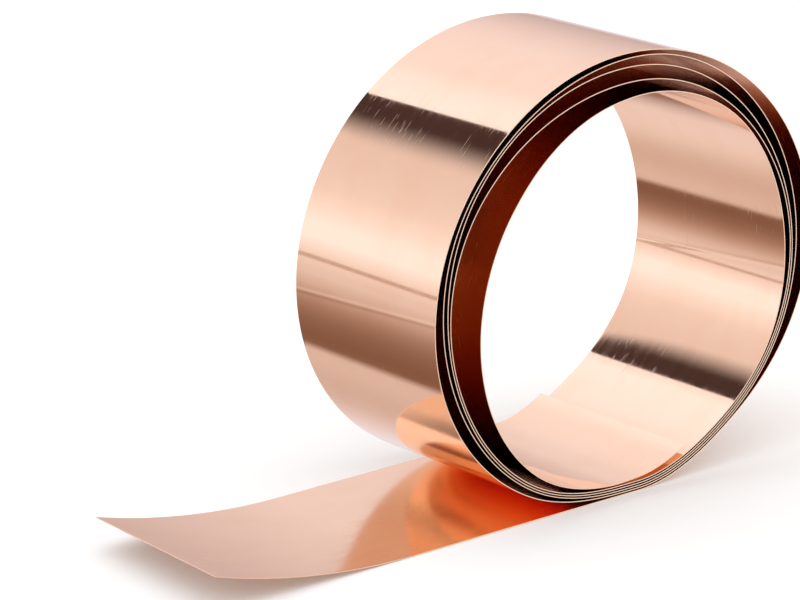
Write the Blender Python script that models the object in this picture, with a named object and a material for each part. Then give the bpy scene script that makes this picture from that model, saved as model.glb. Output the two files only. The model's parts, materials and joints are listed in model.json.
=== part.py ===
"""A roll of bare copper foil strip, lying with its tail run out along the table.

The roll is one springy strip, wound into five loose turns with an open eye and no core. It is
modelled as the lengths between which the strip slips or flexes: five turns that telescope along
the coil's axis, the inner end that springs off the turn under it, and a tail in three lengths.

Frame: metres, +Z up. The strip's width lies along Y. The tail runs towards -X on the table,
which is z = 0. The origin is at the bottom centre of the whole roll's bounding box.

Bearings around the coil are in degrees: 0 straight down, 90 towards +X, 180 up, 270 towards -X.
A winding angle counts bearings on from 0 where the tail meets the outer turn, so the second turn
starts at 360.
"""

from math import cos, pi, radians, sin

import bmesh
import bpy
from mathutils import Vector

# The strip
STRIP_WIDTH = 0.050
FOIL_THICKNESS = 0.0002
TURN_CLEARANCE = 0.0003  # air between turns where they pack together
END_CLEARANCE = 0.0003  # air between the ends of two neighbouring lengths

# The outer turn: a circle with a slight oval and a slighter three-sided lobe
COIL_RADIUS = 0.0461
OVAL_SWELL = 0.0026
OVAL_BEARING = -55.0
LOBE_SWELL = 0.0004
LOBE_BEARING = -39.0
FOOT_SPREAD = 35.0  # the bottom is levelled this many degrees to each side

# Where each turn stands off the turn outside it: bearing, spread to each side, distance.
# All of them have died away at bearing 0, where the turns pack together.
STAND_OFFS = {
    "second_turn": [(101.0, 72.0, 0.0031), (205.0, 75.0, 0.0009), (293.0, 60.0, 0.0020)],
    "third_turn": [(142.0, 85.0, 0.0019), (270.0, 60.0, 0.0006)],
    "fourth_turn": [(187.0, 100.0, 0.0027)],
    "inner_turn": [(95.0, 45.0, 0.0010), (210.0, 100.0, 0.0039), (268.0, 88.0, 0.0058)],
}
TURNS = ["outer_turn", *STAND_OFFS]

# The inner end, which springs off the turn under it. Bearings count from the bottom.
INNER_END_ROOT = -24.0
INNER_END_PEEL = -8.0
INNER_END_TIP = 18.0
INNER_END_LIFT = 0.0013

# The tail, level along the table and then curling up to its tip
TAIL_ROOT_LENGTH = 0.034
TAIL_MIDDLE_LENGTH = 0.033
TAIL_TIP_LENGTH = 0.033
TAIL_LEVEL_LENGTH = 0.055
TAIL_CURL_RADIUS = 0.144
TAIL_CUT_SKEW = 0.0030  # the near corner is this much longer than the far one

# How finely bends are faceted
BEARING_STEP = 4.0
TAIL_STEP = 0.003

# Bare rolled copper
COPPER_COLOUR = (0.94, 0.62, 0.47, 1.0)
COPPER_ROUGHNESS = 0.14

HALF_WIDTH = STRIP_WIDTH / 2
HALF_FOIL = FOIL_THICKNESS / 2
TURN_PITCH = FOIL_THICKNESS + TURN_CLEARANCE
LAST_BEARING = 360.0 * len(TURNS)
TAIL_LENGTH = TAIL_ROOT_LENGTH + TAIL_MIDDLE_LENGTH + TAIL_TIP_LENGTH


def foot_levelling(bearing):
    """Extra radius that brings the strip level at the bottom, fading out to each side."""
    oval_slope = 2 * OVAL_SWELL * sin(radians(2 * OVAL_BEARING))
    lobe_slope = 3 * LOBE_SWELL * sin(radians(3 * LOBE_BEARING))
    offset = (bearing + 180.0) % 360.0 - 180.0
    fade = max(0.0, 1.0 - abs(offset) / FOOT_SPREAD)
    return -(oval_slope + lobe_slope) * radians(offset) * fade**2


def coil_outline(bearing):
    """The radius that every turn would have if the winding took up no room."""
    oval = OVAL_SWELL * cos(radians(2 * (bearing - OVAL_BEARING)))
    lobe = LOBE_SWELL * cos(radians(3 * (bearing - LOBE_BEARING)))
    return COIL_RADIUS + oval + lobe + foot_levelling(bearing)


def stand_off(turn, bearing):
    """How far a turn stands off the turn outside it, beyond the packed clearance."""
    total = 0.0
    for middle, spread, distance in STAND_OFFS[turn]:
        across = abs(bearing - middle) / spread
        if across < 1.0:
            total += distance * (1.0 + cos(pi * across)) / 2.0
    return total


def inner_end_lift(winding):
    """How far the free inner end has sprung off the turn under it."""
    along = (winding - LAST_BEARING - INNER_END_PEEL) / (INNER_END_TIP - INNER_END_PEEL)
    return INNER_END_LIFT * max(0.0, along) ** 1.3


def strip_radius(winding):
    """The strip's mid-thickness radius at a winding angle."""
    turns_begun = 1 + int(winding // 360.0)
    loose = sum(stand_off(turn, winding % 360.0) for turn in TURNS[1:turns_begun])
    drawn_in = TURN_PITCH * winding / 360.0
    return coil_outline(winding) - drawn_in - loose - inner_end_lift(winding)


def coil_reach(winding):
    """How far towards +X the strip's mid-thickness is from the coil's centre."""
    return strip_radius(winding) * sin(radians(winding))


def tail_reach(distance):
    """How far towards -X the tail's mid-thickness is from where it meets the outer turn."""
    curled = max(0.0, distance - TAIL_LEVEL_LENGTH)
    return distance - curled + TAIL_CURL_RADIUS * sin(curled / TAIL_CURL_RADIUS)


OUTER_TURN_REACH = [coil_reach(float(winding)) for winding in range(360)]
TAIL_FULL_REACH = tail_reach(TAIL_LENGTH + TAIL_CUT_SKEW / 2)
COIL_X = (max(TAIL_FULL_REACH, -min(OUTER_TURN_REACH)) - max(OUTER_TURN_REACH)) / 2
COIL_Z = coil_outline(0.0) + HALF_FOIL


def coil_point(winding):
    """The strip's mid-thickness point at a winding angle, as (x, z)."""
    drop = strip_radius(winding) * cos(radians(winding))
    return COIL_X + coil_reach(winding), COIL_Z - drop


def tail_point(distance):
    """The tail's mid-thickness point at a distance from the outer turn, as (x, z)."""
    curled = max(0.0, distance - TAIL_LEVEL_LENGTH)
    rise = TAIL_CURL_RADIUS * (1.0 - cos(curled / TAIL_CURL_RADIUS))
    return COIL_X - tail_reach(distance), HALF_FOIL + rise


def steps_between(start, end, step):
    """Values from start to end, with every whole multiple of step that lies between them."""
    first = int(start // step) + 1
    last = int(-(-end // step))
    return [start, *(step * count for count in range(first, last)), end]


def coil_profile(start, end):
    """Points along the coil between two winding angles, clear of the neighbouring lengths."""
    half_gap = END_CLEARANCE / 2 / COIL_RADIUS * 180.0 / pi
    return [coil_point(w) for w in steps_between(start + half_gap, end - half_gap, BEARING_STEP)]


def tail_profile(start, end):
    """Points along the tail between two distances, clear of the neighbouring lengths."""
    half_gap = END_CLEARANCE / 2
    return [tail_point(d) for d in steps_between(start + half_gap, end - half_gap, TAIL_STEP)]


def copper(name):
    """Bare rolled copper, the same all along the strip."""
    material = bpy.data.materials.new(name)
    material.use_nodes = True
    shader = material.node_tree.nodes["Principled BSDF"]
    shader.inputs["Base Color"].default_value = COPPER_COLOUR
    shader.inputs["Roughness"].default_value = COPPER_ROUGHNESS
    shader.inputs["Metallic"].default_value = 1.0
    return material


def skew_end(near_corner, far_corner, before_end, skew):
    """Turn the end cut out of square by sliding its two corners along the strip."""
    along = (near_corner.co - before_end.co).normalized() * skew / 2
    near_corner.co += along
    far_corner.co -= along


def strip_length(name, profile, origin, cut_skew=0.0):
    """One length of the strip: its profile drawn across the width and given the foil's thickness."""
    build = bmesh.new()
    near_edge = [build.verts.new((x - origin[0], -HALF_WIDTH, z - origin[1])) for x, z in profile]
    chain = [build.edges.new(pair) for pair in zip(near_edge, near_edge[1:])]
    drawn = bmesh.ops.extrude_edge_only(build, edges=chain)
    far_edge = [item for item in drawn["geom"] if isinstance(item, bmesh.types.BMVert)]
    bmesh.ops.translate(build, verts=far_edge, vec=(0.0, STRIP_WIDTH, 0.0))
    far_corner = min(far_edge, key=lambda corner: (corner.co - near_edge[-1].co).length)
    skew_end(near_edge[-1], far_corner, near_edge[-2], cut_skew)
    bmesh.ops.recalc_face_normals(build, faces=build.faces)
    for edge in build.edges:
        edge.smooth = not edge.is_boundary
    mesh = bpy.data.meshes.new(name)
    build.to_mesh(mesh)
    build.free()
    for face in mesh.polygons:
        face.use_smooth = True
    mesh.materials.append(copper(name))

    piece = bpy.data.objects.new(name, mesh)
    piece.location = (origin[0], 0.0, origin[1])
    bpy.context.scene.collection.objects.link(piece)
    foil = piece.modifiers.new("foil", "SOLIDIFY")
    foil.thickness = FOIL_THICKNESS
    foil.offset = 0.0
    foil.use_even_offset = True
    return piece


def join(child, parent, parent_origin):
    """Parent one unrotated piece to another where it stands."""
    child.parent = parent
    child.location -= Vector((parent_origin[0], 0.0, parent_origin[1]))


def wind_coil():
    """The five turns, each sliding along the axis inside the one before, and the inner end."""
    centre = (COIL_X, COIL_Z)
    root = LAST_BEARING + INNER_END_ROOT
    outer_piece = None
    for count, name in enumerate(TURNS):
        start = 360.0 * count
        profile = coil_profile(start, min(start + 360.0, root))
        piece = strip_length(name, profile, centre)
        if outer_piece:
            join(piece, outer_piece, centre)
        outer_piece = piece
    hinge = coil_point(root)
    profile = coil_profile(root, LAST_BEARING + INNER_END_TIP)
    end = strip_length("inner_end", profile, hinge)
    join(end, outer_piece, centre)


def lay_tail():
    """The tail, whose root stays with the outer turn while the other two lengths bend up."""
    centre = (COIL_X, COIL_Z)
    lengths = [
        ("tail_root", TAIL_ROOT_LENGTH, 0.0),
        ("tail_middle", TAIL_MIDDLE_LENGTH, 0.0),
        ("tail_tip", TAIL_TIP_LENGTH, TAIL_CUT_SKEW),
    ]
    start = 0.0
    parent, parent_origin = bpy.data.objects["outer_turn"], centre
    for name, length, cut_skew in lengths:
        hinge = tail_point(start)
        profile = tail_profile(start, start + length)
        piece = strip_length(name, profile, hinge, cut_skew)
        join(piece, parent, parent_origin)
        parent, parent_origin = piece, hinge
        start += length


for old in list(bpy.data.objects):
    bpy.data.objects.remove(old)
wind_coil()
lay_tail()
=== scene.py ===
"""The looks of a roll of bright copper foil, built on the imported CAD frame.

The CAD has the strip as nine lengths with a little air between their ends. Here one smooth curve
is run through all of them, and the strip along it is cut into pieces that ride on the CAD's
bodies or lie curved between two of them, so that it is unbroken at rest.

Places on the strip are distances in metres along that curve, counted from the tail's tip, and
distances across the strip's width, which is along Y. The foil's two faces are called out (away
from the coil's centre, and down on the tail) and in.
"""

import json
from math import cos, pi, radians, sin

import bpy
import numpy as np
from mathutils import Euler, Matrix, Vector


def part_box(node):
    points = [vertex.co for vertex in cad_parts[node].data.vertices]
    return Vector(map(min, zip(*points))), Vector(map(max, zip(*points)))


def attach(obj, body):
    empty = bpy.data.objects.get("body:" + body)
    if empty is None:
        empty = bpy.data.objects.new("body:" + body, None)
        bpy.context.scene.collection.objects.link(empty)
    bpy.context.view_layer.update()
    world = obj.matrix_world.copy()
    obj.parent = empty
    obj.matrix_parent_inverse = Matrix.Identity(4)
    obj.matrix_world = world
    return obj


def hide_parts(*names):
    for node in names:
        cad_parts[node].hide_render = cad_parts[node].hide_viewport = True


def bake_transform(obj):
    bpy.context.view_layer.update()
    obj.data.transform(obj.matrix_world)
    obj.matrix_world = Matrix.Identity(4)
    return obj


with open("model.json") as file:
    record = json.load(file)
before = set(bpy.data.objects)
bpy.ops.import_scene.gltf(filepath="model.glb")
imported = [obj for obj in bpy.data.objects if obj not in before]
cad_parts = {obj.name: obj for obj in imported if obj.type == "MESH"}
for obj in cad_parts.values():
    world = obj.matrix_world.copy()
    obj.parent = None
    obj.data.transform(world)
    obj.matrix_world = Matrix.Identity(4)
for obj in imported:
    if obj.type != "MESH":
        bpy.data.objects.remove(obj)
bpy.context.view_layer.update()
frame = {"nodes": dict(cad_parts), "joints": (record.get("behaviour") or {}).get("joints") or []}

# How the CAD laid the strip out
TAIL_NODES = ["tail_tip", "tail_middle", "tail_root"]
TURN_NODES = ["outer_turn", "second_turn", "third_turn", "fourth_turn", "inner_turn"]
END_GAP = 0.0003  # air between the ends of neighbouring lengths
FOIL_THICKNESS = 0.0002
TAIL_CUT_SKEW = 0.0030  # the tail's near corner is this much longer than its far one
SKEW_FADE = 0.008  # how far from the cut the strip's rows are square again
STRIP_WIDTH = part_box("outer_turn")[1].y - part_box("outer_turn")[0].y

DECIMALS = 7  # of a metre, that places read from the CAD and along the strip are rounded to
SLOPE_STEP = 0.00001  # the distance over which the relief's slope is taken

# How the strip is cut into pieces
TURN_BLEND = 50.0  # degrees each side of the bottom over which one turn passes into the next
BEND_BEFORE = 0.004  # how far a bend runs from its hinge into the body that carries it
BEND_AFTER = 0.006  # how far it runs into the body that swings

# The strip's section: rounded cut edges, and a slight roll of the faces beside them
EDGE_ROUND = 0.00006
EDGE_STEPS = 3
EDGE_ROLL_WIDTH = 0.0008
EDGE_ROLL = 0.000005
EDGE_COLUMNS = [0.0, 0.0002, 0.0005, 0.0009]
MIDDLE_COLUMNS = 13

# How finely the strip is drawn along its length
ROW_STEP = 0.0012
CREASE_ROW_STEP = 0.0001
CREASE_REACH = 0.0028

# Handling marks: turn, bearing at mid-width, slant along the strip per metre of width, height
CREASES = [
    ("outer_turn", 271.4, 0.043, 0.000022),
    ("inner_turn", 78.5, -0.050, 0.000016),
]
CREASE_WIDTH = 0.00045

# Slight waviness of the foil: height, wavelength along, wavelength across, phase
WAVES = [
    (0.000010, 0.047, 0.130, 0.4),
    (0.000006, 0.029, 0.090, 2.1),
    (0.000008, 0.083, 0.070, 4.0),
]

# The camera
CAMERA_AIM = Vector((-0.0083, 0.0044, 0.0422))
CAMERA_DISTANCE = 0.926
CAMERA_AZIMUTH = 32.95
CAMERA_ELEVATION = 16.13
CAMERA_ROLL = 4.21
CAMERA_LENS = 206.9
CAMERA_CLIP_END = 20.0

# The stage
STAGE_REACH = 4.0
FLOOR_Z = -0.00004
MIRROR_BOUNCES = 16

# What the copper mirrors: levels of light, by roll angle about Y in the sky, from +X (0) up (90)
# to -X (180), and by place along X on the bench, behind the roll and in front of it
SKY_BANDS = [
    (0, 0.55),
    (9, 0.65),
    (21, 0.78),
    (33, 0.92),
    (45, 1.03),
    (60, 1.08),
    (76, 1.12),
    (85, 1.26),
    (100, 1.36),
    (112, 1.04),
    (123, 0.86),
    (135, 0.90),
    (147, 0.98),
    (156, 1.14),
    (164, 1.32),
    (171, 1.32),
    (177, 1.08),
    (180, 0.97),
]
BENCH_Z = -0.051
BENCH_REACH = 1.6
BENCH_BANDS = [
    (-1.600, 0.93),
    (-0.600, 0.82),
    (-0.380, 0.66),
    (-0.270, 0.45),
    (-0.200, 0.29),
    (-0.150, 0.20),
    (-0.105, 0.145),
    (-0.087, 0.16),
    (-0.079, 0.70),
    (-0.060, 0.71),
    (-0.030, 0.62),
    (-0.010, 0.66),
    (0.008, 0.80),
    (0.030, 0.90),
    (0.065, 0.86),
    (0.110, 0.22),
    (0.240, 0.20),
    (0.340, 0.85),
    (0.900, 0.78),
    (1.600, 0.54),
]
FRONT_BANDS = [
    (-1.600, 0.80),
    (0.040, 0.78),
    (0.120, 1.35),
    (0.400, 1.35),
    (1.600, 0.90),
]
BENCH_BLEND_Y = (-0.06, 0.06)  # where the bench's front passes into its back
STUDIO_LIGHT = 1.25

# Dim parts of the room are warmer and bright ones cooler: for red, green and blue, the power that a
# level is raised to and a factor
TONES = [(0.72, 0.97), (1.00, 0.93), (1.20, 1.04)]

# The dark flag over the coil: its crisp edge, its soft edge, its height, its run along Y, the place
# along Y where its far end starts to fade, and its colour
FLAG_CRISP_X = -0.041
FLAG_SOFT_X = (-0.200, -0.092)
FLAG_Z = 0.350
FLAG_RUN = (0.05, 0.505)
FLAG_END = 0.472
FLAG_COLOUR = (0.066, 0.041, 0.042, 1.0)

# Copper: open faces, faces that lie between turns (darkened there as painted shade), and cut edges
COPPER = (0.975, 0.665, 0.455, 1.0)
CLOUDED_COPPER = (0.960, 0.640, 0.425, 1.0)
SHADED_COPPER = (0.64, 0.355, 0.20, 1.0)
CUT_COPPER = (1.0, 0.73, 0.47, 1.0)
FLOOR_COLOUR = (0.93, 0.93, 0.93, 1.0)
OPEN_ROUGHNESS = (0.045, 0.075)
TAIL_ROUGHNESS = (0.05, 0.13)  # added at the tip, and beside the coil
TAIL_ROUGH_FROM = (0.045, 0.085)  # where along the strip it rises from the first to the second
TAIL_ROUGH_TO = (0.100, 0.135)  # where it fades away
DULLED_ROUGHNESS = 0.10
SCRATCH_ROUGHNESS = 0.25
EDGE_ROUGHNESS = (0.28, 0.42)

# Marks on the copper, as noise: repeats per metre along and across the strip, and its detail
CLOUD_NOISE = (70.0, 90.0, 4.0)
GRAIN_NOISE = (60.0, 5200.0, 3.0)
STREAK_NOISE = (25.0, 420.0, 3.0)
SCRATCH_NOISE = (170.0, 5200.0, 1.0)
PATCH_NOISE = (30.0, 45.0, 1.0)
SHEAR_NOISE = (2400.0, 30.0, 2.0)

# The part of a noise's range that is spread over a mark's whole effect
NOISE_MIDDLE = (0.3, 0.7)
CLOUD_RANGE = (0.4, 0.75)
SCRATCH_RANGE = (0.68, 0.74)
PATCH_RANGE = (0.48, 0.62)

# How the marks stand out, and how the grain stretches the highlights
GRAIN_SHARE = 0.25
COPPER_BUMP = (0.12, 0.00002)
ANISOTROPY = 0.4
ANISOTROPY_TURN = 0.25

# The floor's paper: repeats per metre, detail, and the bump's strength and height
FIBRE_NOISE = (900.0, 3.0)
FIBRE_BUMP = (0.05, 0.0001)
FLOOR_ROUGHNESS = 0.9

# Where the faces go in between turns and come out again: turn, bearings at the start and end
OUT_FACE_HIDES = ("second_turn", 2.0, 20.0)
IN_FACE_HIDES = ("outer_turn", 2.0, 30.0)
IN_FACE_SHOWS = ("inner_turn", 10.0, 20.0)
RIM_SHADE_AND_DULLING = 0.10  # the share of the painted shade and dulling that is there at the very rim
SHADE_AND_DULLING_DEPTH = 0.012  # how far in from the rim the painted shade and dulling are complete

# The Mix node's sockets for colours
MIX_FACTOR, MIX_FIRST, MIX_SECOND, MIX_RESULT = 0, 6, 7, 2


# The curve through the CAD's lengths


def near_rim(node):
    """The corners of a CAD length's near rim, as rows of x and z."""
    places = [vertex.co for vertex in frame["nodes"][node].data.vertices]
    corners = {(round(place.x, DECIMALS), round(place.z, DECIMALS)) for place in places if place.y < 0}
    return np.array(sorted(corners))


def mid_points(corners, order):
    """The foil's mid-thickness points, from its corners sorted along the strip."""
    paired = corners[np.argsort(order)].reshape(-1, 2, 2)
    return paired.mean(axis=1)


def bearings(points):
    """Degrees around the coil, from 0 at the bottom towards +X."""
    around = np.arctan2(points[:, 0] - COIL_CENTRE[0], COIL_CENTRE[1] - points[:, 1])
    return np.degrees(around) % 360.0


class Curve:
    """A smooth curve through points, read by the distance along it."""

    def __init__(self, points):
        self.points = points
        step = np.linalg.norm(np.diff(points, axis=0), axis=1)
        self.at = np.concatenate([[0.0], np.cumsum(step)])
        slope = np.diff(points, axis=0) / step[:, None]
        system = np.eye(len(points))
        rise = np.zeros_like(points)
        for k in range(1, len(points) - 1):
            system[k, k - 1 : k + 2] = [step[k - 1], 2 * (step[k - 1] + step[k]), step[k]]
            rise[k] = 6 * (slope[k] - slope[k - 1])
        self.bend = np.linalg.solve(system, rise)

    def read(self, distance):
        """Points and unit directions along the curve. It runs on straight past its ends."""
        inside = np.clip(distance, self.at[0], self.at[-1])
        k = np.clip(np.searchsorted(self.at, inside) - 1, 0, len(self.at) - 2)
        step = (self.at[k + 1] - self.at[k])[:, None]
        t = ((inside - self.at[k])[:, None]) / step
        before, after = self.points[k], self.points[k + 1]
        bend_before, bend_after = self.bend[k], self.bend[k + 1]
        point = (1 - t) * before + t * after
        point += step**2 / 6 * (((1 - t) ** 3 - (1 - t)) * bend_before + (t**3 - t) * bend_after)
        along = (after - before) / step
        along += step / 6 * ((1 - 3 * (1 - t) ** 2) * bend_before + (3 * t**2 - 1) * bend_after)
        along /= np.linalg.norm(along, axis=1)[:, None]
        return point + along * (distance - inside)[:, None], along


def strip_curve():
    """The curve, and for each turn and the inner end the bearings and distances of its points."""
    lengths = []
    for node in TAIL_NODES:
        corners = near_rim(node)
        lengths.append(mid_points(corners, corners[:, 0]))
    for node in TURN_NODES:
        corners = near_rim(node)
        lengths.append(mid_points(corners, bearings(corners)))
    corners = near_rim("inner_end")
    # This length lies across the bottom, so its bearings are counted from the top
    lengths.append(mid_points(corners, (bearings(corners) + 180.0) % 360.0))
    curve = Curve(np.concatenate(lengths))
    turns = {}
    first = sum(len(length) for length in lengths[: len(TAIL_NODES)])
    for node, length in zip(TURN_NODES + ["inner_end"], lengths[len(TAIL_NODES) :]):
        turns[node] = (bearings(length), curve.at[first : first + len(length)])
        first += len(length)
    return curve, turns


COIL_CENTRE = np.array([
    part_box("tail_root")[1].x + END_GAP / 2,
    (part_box("outer_turn")[0].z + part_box("outer_turn")[1].z) / 2,
])
STRIP, TURNS = strip_curve()
STRIP_END = STRIP.at[-1]


def on_turn(node, bearing):
    """The distance along the strip at a bearing on a turn."""
    return float(np.interp(bearing, *TURNS[node]))


def at_x(x):
    """The distance along the strip's tail at a place along X."""
    tail = STRIP.points[:, 0] < COIL_CENTRE[0]
    tail &= STRIP.at < TURNS["outer_turn"][1][0]
    return float(np.interp(x, STRIP.points[tail, 0], STRIP.at[tail]))


CREASE_PLACES = [(on_turn(node, bearing), slant, height) for node, bearing, slant, height in CREASES]


# The strip's surface


def relief(distance, across):
    """How far the foil stands out from its smooth curve: waves, creases and rolled edges."""
    height = np.zeros_like(distance)
    for depth, along, wide, phase in WAVES:
        height += depth * np.sin(2 * pi * distance / along + phase) * np.cos(2 * pi * across / wide + phase)
    for place, slant, depth in CREASE_PLACES:
        off = (distance - place - slant * across) / CREASE_WIDTH
        height += depth * np.exp(-(off**2))
    inset = STRIP_WIDTH / 2 - np.abs(across)
    height += EDGE_ROLL * np.clip(1 - inset / EDGE_ROLL_WIDTH, 0, 1) ** 2
    return height


def section():
    """The strip's section as a ladder: for each rung, the out and in corners.

    A corner is (height, across, outward height, outward across). Rungs run from the near rim to
    the far one, and the first and last EDGE_STEPS of them are on the rounded cut edges.
    """
    half = FOIL_THICKNESS / 2
    flat = STRIP_WIDTH / 2 - EDGE_ROUND
    columns = [-flat + inset for inset in EDGE_COLUMNS]
    columns += list(np.linspace(-flat + EDGE_COLUMNS[-1], flat - EDGE_COLUMNS[-1], MIDDLE_COLUMNS))[1:-1]
    columns += [flat - inset for inset in reversed(EDGE_COLUMNS)]
    turned = [radians(90.0 * step / EDGE_STEPS) for step in range(EDGE_STEPS, 0, -1)]
    rungs = []
    for a in turned:
        rungs.append((half - EDGE_ROUND * (1 - cos(a)), -flat - EDGE_ROUND * sin(a), cos(a), -sin(a)))
    rungs += [(half, across, 1.0, 0.0) for across in columns]
    rungs += [(height, -across, up, -out) for height, across, up, out in reversed(rungs[:EDGE_STEPS])]
    out_side = np.array(rungs)
    in_side = out_side * [-1, 1, -1, 1]
    return np.concatenate([out_side, in_side[::-1]])


SECTION = section()
RUNGS = len(SECTION) // 2


def rows_between(start, end):
    """Distances from start to end, closer together over a crease."""
    count = max(2, round((end - start) / ROW_STEP) + 1)
    rows = np.linspace(start, end, count)
    for place, _, _ in CREASE_PLACES:
        low, high = max(start, place - CREASE_REACH), min(end, place + CREASE_REACH)
        if low < high:
            fine = np.arange(low, high, CREASE_ROW_STEP)
            rows = np.concatenate([rows[(rows < low) | (rows > high)], fine, [high]])
    return np.unique(np.round(rows, DECIMALS))


def surface(rows):
    """Points and outward directions of the strip, one line of the section for each row."""
    distance, height = np.meshgrid(rows, SECTION[:, 0], indexing="ij")
    across = np.broadcast_to(SECTION[:, 1], distance.shape)
    up = np.broadcast_to(SECTION[:, 2], distance.shape)
    out = np.broadcast_to(SECTION[:, 3], distance.shape)
    fade = np.clip(1 - rows / SKEW_FADE, 0, 1)[:, None]
    distance = distance + fade * TAIL_CUT_SKEW * (across / STRIP_WIDTH + 0.5)

    step = SLOPE_STEP
    rise_along = (relief(distance + step, across) - relief(distance - step, across)) / (2 * step)
    rise_across = (relief(distance, across + step) - relief(distance, across - step)) / (2 * step)
    point, along = STRIP.read(distance.ravel())
    outward = np.stack([along[:, 1], -along[:, 0]], axis=1)
    lift = (height + relief(distance, across)).ravel()[:, None]
    flat = point + outward * lift
    points = np.stack([flat[:, 0], across.ravel(), flat[:, 1]], axis=1)

    lean = outward - along * rise_along.ravel()[:, None]
    facing = np.stack([lean[:, 0], -rise_across.ravel(), lean[:, 1]], axis=1) * up.ravel()[:, None]
    facing[:, 1] += out.ravel()
    facing /= np.linalg.norm(facing, axis=1)[:, None]
    ends = np.stack([along[:, 0], np.zeros(len(along)), along[:, 1]], axis=1)
    return points, facing, ends, np.stack([distance.ravel(), across.ravel()], axis=1)


def hidden(distance):
    """How far the out and in faces have gone in between turns, from 0 to 1, at each distance."""

    def passed(turn, low, high):
        return np.interp(distance, [on_turn(turn, low), on_turn(turn, high)], [0.0, 1.0])

    return passed(*OUT_FACE_HIDES), passed(*IN_FACE_HIDES) - passed(*IN_FACE_SHOWS)


def strip_piece(name, start, end):
    """A closed length of the strip between two distances."""
    rows = rows_between(start, end)
    points, facing, ends, places = surface(rows)
    ring = len(SECTION)
    row, corner = np.meshgrid(np.arange(len(rows) - 1), np.arange(ring), indexing="ij")
    beside = (corner + 1) % ring
    around = np.stack([
        row * ring + corner,
        row * ring + beside,
        (row + 1) * ring + beside,
        (row + 1) * ring + corner,
    ], axis=-1).reshape(-1, 4)
    rung = np.arange(RUNGS - 1)
    cap = np.stack([rung, rung + 1, ring - 2 - rung, ring - 1 - rung], axis=1)
    last = (len(rows) - 1) * ring
    faces = np.concatenate([around, cap[:, ::-1], last + cap])

    mesh = bpy.data.meshes.new(name)
    mesh.from_pydata(points.tolist(), [], faces.tolist())
    mesh.polygons.foreach_set("use_smooth", np.ones(len(faces), bool))
    on_edge = (corner < EDGE_STEPS) | (corner >= ring - EDGE_STEPS - 1)
    on_edge |= abs(corner - RUNGS + 1) <= EDGE_STEPS
    cut = np.concatenate([on_edge.ravel(), np.ones(2 * len(cap), bool)])
    mesh.polygons.foreach_set("material_index", cut.astype(np.int32))

    uv = mesh.uv_layers.new(name="strip")
    uv.data.foreach_set("uv", places[faces.ravel()].ravel())
    normals = facing[faces].reshape(-1, 3)
    caps = 4 * len(cap)
    normals[-2 * caps : -caps] = -ends[faces[-2 * len(cap) : -len(cap)].ravel()]
    normals[-caps:] = ends[faces[-len(cap) :].ravel()]
    mesh.normals_split_custom_set(normals.tolist())

    # Painted shade: how far each face has gone in between turns, fading in from the rims, darkens its
    # copper there and makes it rougher
    out_hidden, in_hidden = hidden(places[:, 0].reshape(-1, ring))
    depth = np.clip((STRIP_WIDTH / 2 - np.abs(SECTION[:, 1])) / SHADE_AND_DULLING_DEPTH, 0, 1)
    sheltered = np.where(np.arange(ring) < RUNGS, out_hidden, in_hidden)
    sheltered = sheltered * (RIM_SHADE_AND_DULLING + (1 - RIM_SHADE_AND_DULLING) * depth)
    mesh.attributes.new("sheltered", "FLOAT", "POINT").data.foreach_set("value", sheltered.ravel())

    piece = bpy.data.objects.new(name, mesh)
    bpy.context.scene.collection.objects.link(piece)
    mesh.materials.append(MATERIALS["face"])
    mesh.materials.append(MATERIALS["edge"])
    return piece


def rigid(name, body, start, end, *nodes):
    """A length that rides on one body and stands for CAD nodes."""
    piece = strip_piece(name, start, end)
    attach(piece, body)
    if nodes:
        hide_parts(*nodes)


def bending(name, start, end):
    """A length that lies between two bodies, with its place baked into its mesh; it rides on neither."""
    piece = strip_piece(name, start, end)
    ends, _ = STRIP.read(np.array([start, end]))
    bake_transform(piece)


# Materials


def feed(tree, socket, value):
    """Links a socket to another node's output, or sets it to a value."""
    if isinstance(value, bpy.types.NodeSocket):
        tree.links.new(value, socket)
    else:
        socket.default_value = value


def add(tree, kind, **inputs):
    """A shader node with some of its inputs fed by name, or by number as _0, _1 and so on."""
    node = tree.nodes.new(kind)
    for name, value in inputs.items():
        key = int(name[1:]) if name[0] == "_" else name
        feed(tree, node.inputs[key], value)
    return node


def maths(tree, operation, *values):
    """The result of a Math node."""
    node = tree.nodes.new("ShaderNodeMath")
    node.operation = operation
    for socket, value in zip(node.inputs, values):
        feed(tree, socket, value)
    return node.outputs[0]


def between(tree, value, low, high, to_low=0.0, to_high=1.0):
    """A value mapped from one range to another, smoothly, and held at its ends."""
    node = add(tree, "ShaderNodeMapRange", Value=value)
    node.interpolation_type = "SMOOTHSTEP"
    node.inputs["From Min"].default_value = low
    node.inputs["From Max"].default_value = high
    node.inputs["To Min"].default_value = to_low
    node.inputs["To Max"].default_value = to_high
    return node.outputs["Result"]


def share_of_range(tree, value, low, high):
    """How far a value is from low to high, as 0 to 1."""
    return maths(tree, "DIVIDE", maths(tree, "SUBTRACT", value, low), high - low)


def mixed(tree, factor, first, second):
    """The colour between two colours."""
    node = tree.nodes.new("ShaderNodeMix")
    node.data_type = "RGBA"
    feed(tree, node.inputs[MIX_FACTOR], factor)
    feed(tree, node.inputs[MIX_FIRST], first)
    feed(tree, node.inputs[MIX_SECOND], second)
    return node.outputs[MIX_RESULT]


def strip_noise(tree, place, along, across, detail):
    """Noise in the strip's own directions: how many times it repeats per metre each way."""
    stretched = add(tree, "ShaderNodeMapping", Vector=place, Scale=(along, across, 1.0))
    noise = add(tree, "ShaderNodeTexNoise", Vector=stretched.outputs[0], Scale=1.0, Detail=detail)
    return noise.outputs["Fac"]


def new_material(name):
    """A material with its Principled BSDF."""
    material = bpy.data.materials.new(name)
    material.use_nodes = True
    return material, material.node_tree, material.node_tree.nodes["Principled BSDF"]


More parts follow.
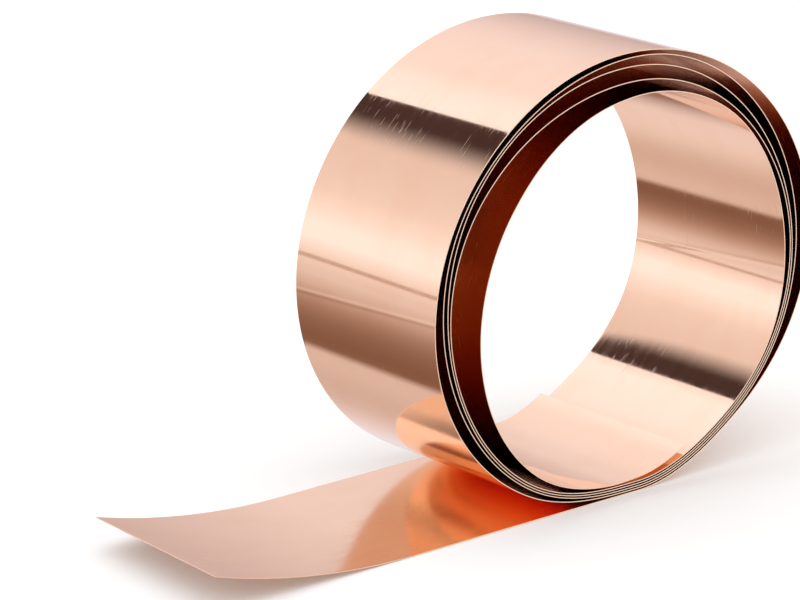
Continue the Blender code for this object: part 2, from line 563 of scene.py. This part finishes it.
def face_material():
    """Bright rolled copper: faint clouding, rolling grain and fine scratches; rougher and with painted
    shade between turns.
    """
    material, tree, shader = new_material("rolled_copper")
    place = add(tree, "ShaderNodeUVMap").outputs[0]
    along = add(tree, "ShaderNodeSeparateXYZ", Vector=place).outputs["X"]
    shelter = tree.nodes.new("ShaderNodeAttribute")
    shelter.attribute_name = "sheltered"
    cloud = strip_noise(tree, place, *CLOUD_NOISE)
    grain = strip_noise(tree, place, *GRAIN_NOISE)
    streak = strip_noise(tree, place, *STREAK_NOISE)
    scratch = between(tree, strip_noise(tree, place, *SCRATCH_NOISE), *SCRATCH_RANGE)
    patch = between(tree, strip_noise(tree, place, *PATCH_NOISE), *PATCH_RANGE)
    scratch = maths(tree, "MULTIPLY", scratch, patch)

    colour = mixed(tree, between(tree, cloud, *CLOUD_RANGE), COPPER, CLOUDED_COPPER)
    # Painted shade: the copper darkens where its faces lie between turns
    colour = mixed(tree, shelter.outputs["Fac"], colour, SHADED_COPPER)
    tree.links.new(colour, shader.inputs["Base Color"])

    rough = between(tree, streak, *NOISE_MIDDLE, *OPEN_ROUGHNESS)
    tail = between(tree, along, *TAIL_ROUGH_FROM, *TAIL_ROUGHNESS)
    tail = maths(tree, "MULTIPLY", tail, between(tree, along, *TAIL_ROUGH_TO, 1.0, 0.0))
    rough = maths(tree, "ADD", rough, tail)
    rough = maths(tree, "ADD", rough, maths(tree, "MULTIPLY", scratch, SCRATCH_ROUGHNESS))
    rough = maths(tree, "ADD", rough, maths(tree, "MULTIPLY", shelter.outputs["Fac"], DULLED_ROUGHNESS))
    tree.links.new(rough, shader.inputs["Roughness"])

    height = maths(tree, "ADD", maths(tree, "MULTIPLY", grain, GRAIN_SHARE), scratch)
    strength, depth = COPPER_BUMP
    bump = add(tree, "ShaderNodeBump", Strength=strength, Distance=depth, Height=height)
    tree.links.new(bump.outputs[0], shader.inputs["Normal"])
    tangent = tree.nodes.new("ShaderNodeTangent")
    tangent.direction_type = "UV_MAP"
    tree.links.new(tangent.outputs[0], shader.inputs["Tangent"])
    shader.inputs["Metallic"].default_value = 1.0
    shader.inputs["Anisotropic"].default_value = ANISOTROPY
    shader.inputs["Anisotropic Rotation"].default_value = ANISOTROPY_TURN
    return material


def edge_material():
    """The freshly cut edge: paler and duller, with shear marks across it."""
    material, tree, shader = new_material("cut_copper")
    place = add(tree, "ShaderNodeUVMap").outputs[0]
    shear = strip_noise(tree, place, *SHEAR_NOISE)
    colour = mixed(tree, between(tree, shear, *NOISE_MIDDLE), CUT_COPPER, COPPER)
    tree.links.new(colour, shader.inputs["Base Color"])
    tree.links.new(between(tree, shear, *NOISE_MIDDLE, *EDGE_ROUGHNESS), shader.inputs["Roughness"])
    shader.inputs["Metallic"].default_value = 1.0
    return material


def floor_material():
    """Plain pale matt paper."""
    material, tree, shader = new_material("pale_floor")
    place = add(tree, "ShaderNodeTexCoord").outputs["Object"]
    scale, detail = FIBRE_NOISE
    fibre = add(tree, "ShaderNodeTexNoise", Vector=place, Scale=scale, Detail=detail)
    strength, depth = FIBRE_BUMP
    bump = add(tree, "ShaderNodeBump", Strength=strength, Distance=depth, Height=fibre.outputs["Fac"])
    tree.links.new(bump.outputs[0], shader.inputs["Normal"])
    shader.inputs["Base Color"].default_value = FLOOR_COLOUR
    shader.inputs["Roughness"].default_value = FLOOR_ROUGHNESS
    shader.inputs["Specular IOR Level"].default_value = 0.0
    return material


def tone(level):
    """The colour of a level of light."""
    return [factor * level**power for power, factor in TONES] + [1.0]


def banded(tree, value, low, high, bands):
    """The colour of the light at a value, from bands of (value, level)."""
    ramp = add(tree, "ShaderNodeValToRGB", Fac=share_of_range(tree, value, low, high))
    stops = ramp.color_ramp.elements
    while len(stops) < len(bands):
        stops.new(0.5)
    for stop, (at, level) in zip(stops, bands):
        stop.position = (at - low) / (high - low)
        stop.color = tone(level)
    return ramp.outputs["Color"]


def glow_material(name, colour_of, alpha_of=None):
    """A card that glows with a colour worked out from its place, and can fade out."""
    material = bpy.data.materials.new(name)
    material.use_nodes = True
    tree = material.node_tree
    tree.nodes.clear()
    position = add(tree, "ShaderNodeNewGeometry").outputs["Position"]
    place = add(tree, "ShaderNodeSeparateXYZ", Vector=position).outputs
    glow = add(tree, "ShaderNodeEmission", Color=colour_of(tree, place)).outputs[0]
    if alpha_of:
        clear = add(tree, "ShaderNodeBsdfTransparent").outputs[0]
        glow = add(tree, "ShaderNodeMixShader", _0=alpha_of(tree, place), _1=clear, _2=glow).outputs[0]
    add(tree, "ShaderNodeOutputMaterial", Surface=glow)
    return material


# The pieces


def hinge(name):
    """Where a joint's axis is."""
    return next(joint["pos_m"] for joint in frame["joints"] if joint["name"] == name)


def lay_strip():
    """Every length of the strip, from the tail's tip to the inner end."""
    tip_hinge = at_x(hinge("tail_tip_hinge")[0])
    middle_hinge = at_x(hinge("tail_middle_hinge")[0])
    end_hinge = (TURNS["inner_turn"][1][-1] + TURNS["inner_end"][1][0]) / 2
    tip_bend, tip_root = tip_hinge - BEND_AFTER, tip_hinge + BEND_BEFORE
    middle_bend, middle_root = middle_hinge - BEND_AFTER, middle_hinge + BEND_BEFORE
    end_root, end_bend = end_hinge - BEND_BEFORE, end_hinge + BEND_AFTER
    rigid("tail_tip_strip", "tail_tip", 0.0, tip_bend, "tail_tip")
    bending("tail_tip_bend", tip_bend, tip_root)
    rigid("tail_middle_strip", "tail_middle", tip_root, middle_bend, "tail_middle")
    bending("tail_middle_bend", middle_bend, middle_root)

    start = middle_root
    nodes = ["outer_turn", "tail_root"]
    for inside, outside in zip(TURN_NODES[1:], TURN_NODES):
        leave = on_turn(outside, 360.0 - TURN_BLEND)
        arrive = on_turn(inside, TURN_BLEND)
        rigid(f"{outside}_strip", outside, start, leave, *nodes)
        bending(f"{outside}_to_{inside}", leave, arrive)
        start = arrive
        nodes = [inside]
    rigid("inner_turn_strip", "inner_turn", start, end_root, "inner_turn")
    bending("inner_end_bend", end_root, end_bend)
    rigid("inner_end_strip", "inner_end", end_bend, STRIP_END, "inner_end")


def level_card(name, across, along, z, material):
    """A level rectangle of the stage, between two places along X and two along Y."""
    corners = [(x, y, z) for x, y in zip([across[0], across[1], across[1], across[0]], np.repeat(along, 2))]
    mesh = bpy.data.meshes.new(name)
    mesh.from_pydata(corners, [], [(0, 1, 2, 3)])
    mesh.materials.append(material)
    sheet = bpy.data.objects.new(name, mesh)
    bpy.context.scene.collection.objects.link(sheet)
    return sheet


def mirrored_only(sheet):
    """Lets a card be seen in the copper and nowhere else."""
    sheet.visible_camera = False
    sheet.visible_diffuse = False
    sheet.visible_shadow = False


def set_stage():
    """The floor, and the bench and flag that the copper mirrors."""
    everywhere = (-STAGE_REACH, STAGE_REACH)
    floor = level_card("floor", everywhere, everywhere, FLOOR_Z, floor_material())
    floor.visible_glossy = False

    def bench_colour(tree, place):
        front = banded(tree, place["X"], -BENCH_REACH, BENCH_REACH, FRONT_BANDS)
        back = banded(tree, place["X"], -BENCH_REACH, BENCH_REACH, BENCH_BANDS)
        return mixed(tree, between(tree, place["Y"], *BENCH_BLEND_Y), front, back)

    bench = glow_material("bench_glow", bench_colour)
    mirrored_only(level_card("bench_card", everywhere, everywhere, BENCH_Z, bench))

    def flag_fade(tree, place):
        side = between(tree, place["X"], *FLAG_SOFT_X)
        return maths(tree, "MULTIPLY", side, between(tree, place["Y"], FLAG_END, FLAG_RUN[1], 1.0, 0.0))

    black = glow_material("flag_black", lambda tree, place: FLAG_COLOUR, flag_fade)
    mirrored_only(level_card("flag_card", (FLAG_SOFT_X[0], FLAG_CRISP_X), FLAG_RUN, FLAG_Z, black))


def light_studio():
    """An even white room for the floor, with brighter and dimmer bands that the copper mirrors."""
    world = bpy.data.worlds.new("studio")
    world.use_nodes = True
    tree = world.node_tree
    tree.nodes.clear()
    direction = add(tree, "ShaderNodeTexCoord").outputs["Generated"]
    split = add(tree, "ShaderNodeSeparateXYZ", Vector=direction)
    roll = maths(tree, "DEGREES", maths(tree, "ARCTAN2", split.outputs["Z"], split.outputs["X"]))
    bands = banded(tree, roll, 0.0, 180.0, SKY_BANDS)
    mirrored = add(tree, "ShaderNodeLightPath").outputs["Is Glossy Ray"]
    even = (STUDIO_LIGHT, STUDIO_LIGHT, STUDIO_LIGHT, 1.0)
    glow = add(tree, "ShaderNodeBackground", Color=mixed(tree, mirrored, even, bands))
    add(tree, "ShaderNodeOutputWorld", Surface=glow.outputs[0])
    bpy.context.scene.world = world


def place_camera():
    """A long lens, from the front left and a little above."""
    data = bpy.data.cameras.new("camera")
    data.lens = CAMERA_LENS
    data.clip_end = CAMERA_CLIP_END
    camera = bpy.data.objects.new("camera", data)
    bpy.context.scene.collection.objects.link(camera)
    pose = Euler((radians(90.0 - CAMERA_ELEVATION), 0.0, radians(-CAMERA_AZIMUTH))).to_matrix().to_4x4()
    pose = pose @ Matrix.Rotation(radians(-CAMERA_ROLL), 4, "Z")
    back = Matrix.Translation((0, 0, CAMERA_DISTANCE))
    camera.matrix_world = Matrix.Translation(CAMERA_AIM) @ pose @ back
    bpy.context.scene.camera = camera


place_camera()
MATERIALS = {"face": face_material(), "edge": edge_material()}
lay_strip()
set_stage()
light_studio()

view = bpy.context.scene.view_settings
view.view_transform = "Standard"
cycles = bpy.context.scene.cycles
cycles.max_bounces = MIRROR_BOUNCES
cycles.glossy_bounces = MIRROR_BOUNCES
